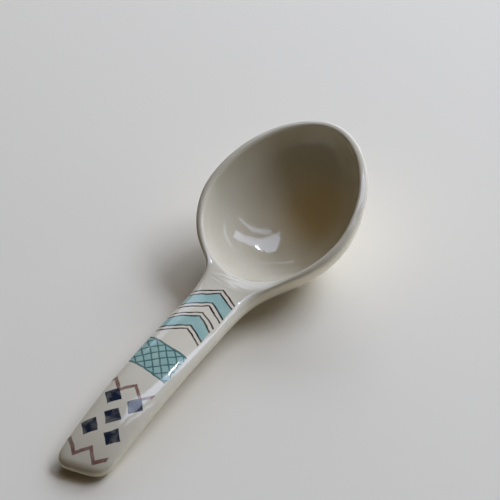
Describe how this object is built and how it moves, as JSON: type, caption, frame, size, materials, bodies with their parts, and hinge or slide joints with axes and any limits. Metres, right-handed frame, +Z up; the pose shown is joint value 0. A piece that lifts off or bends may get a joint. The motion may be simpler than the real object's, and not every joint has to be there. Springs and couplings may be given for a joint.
{
  "type": "teaspoon",
  "caption": "Glazed ivory porcelain teaspoon: a deep egg-shaped bowl, tilted up to its tip, joined by a flared neck to a flat, gently arched strap handle with painted bands.",
  "frame": {"origin": "on the table, under the middle of the spoon's length and width, as it lies with its bowl open upward", "axes": "+X along the spoon from the handle's end to the bowl's tip, +Y across it to the left of a person who looks along +X, +Z up from the table"},
  "size_m": [0.1046, 0.0378, 0.0229],
  "materials": {
    "bowl_glaze": "clear glossy glaze over ivory porcelain, wiped off the small foot",
    "handle_glaze": "clear glossy glaze over ivory porcelain with painted bands on the top, wiped off the heel"
  },
  "bodies": {
    "root": {"bowl": "bowl_glaze", "handle": "handle_glaze"}
  },
  "joints": []
}
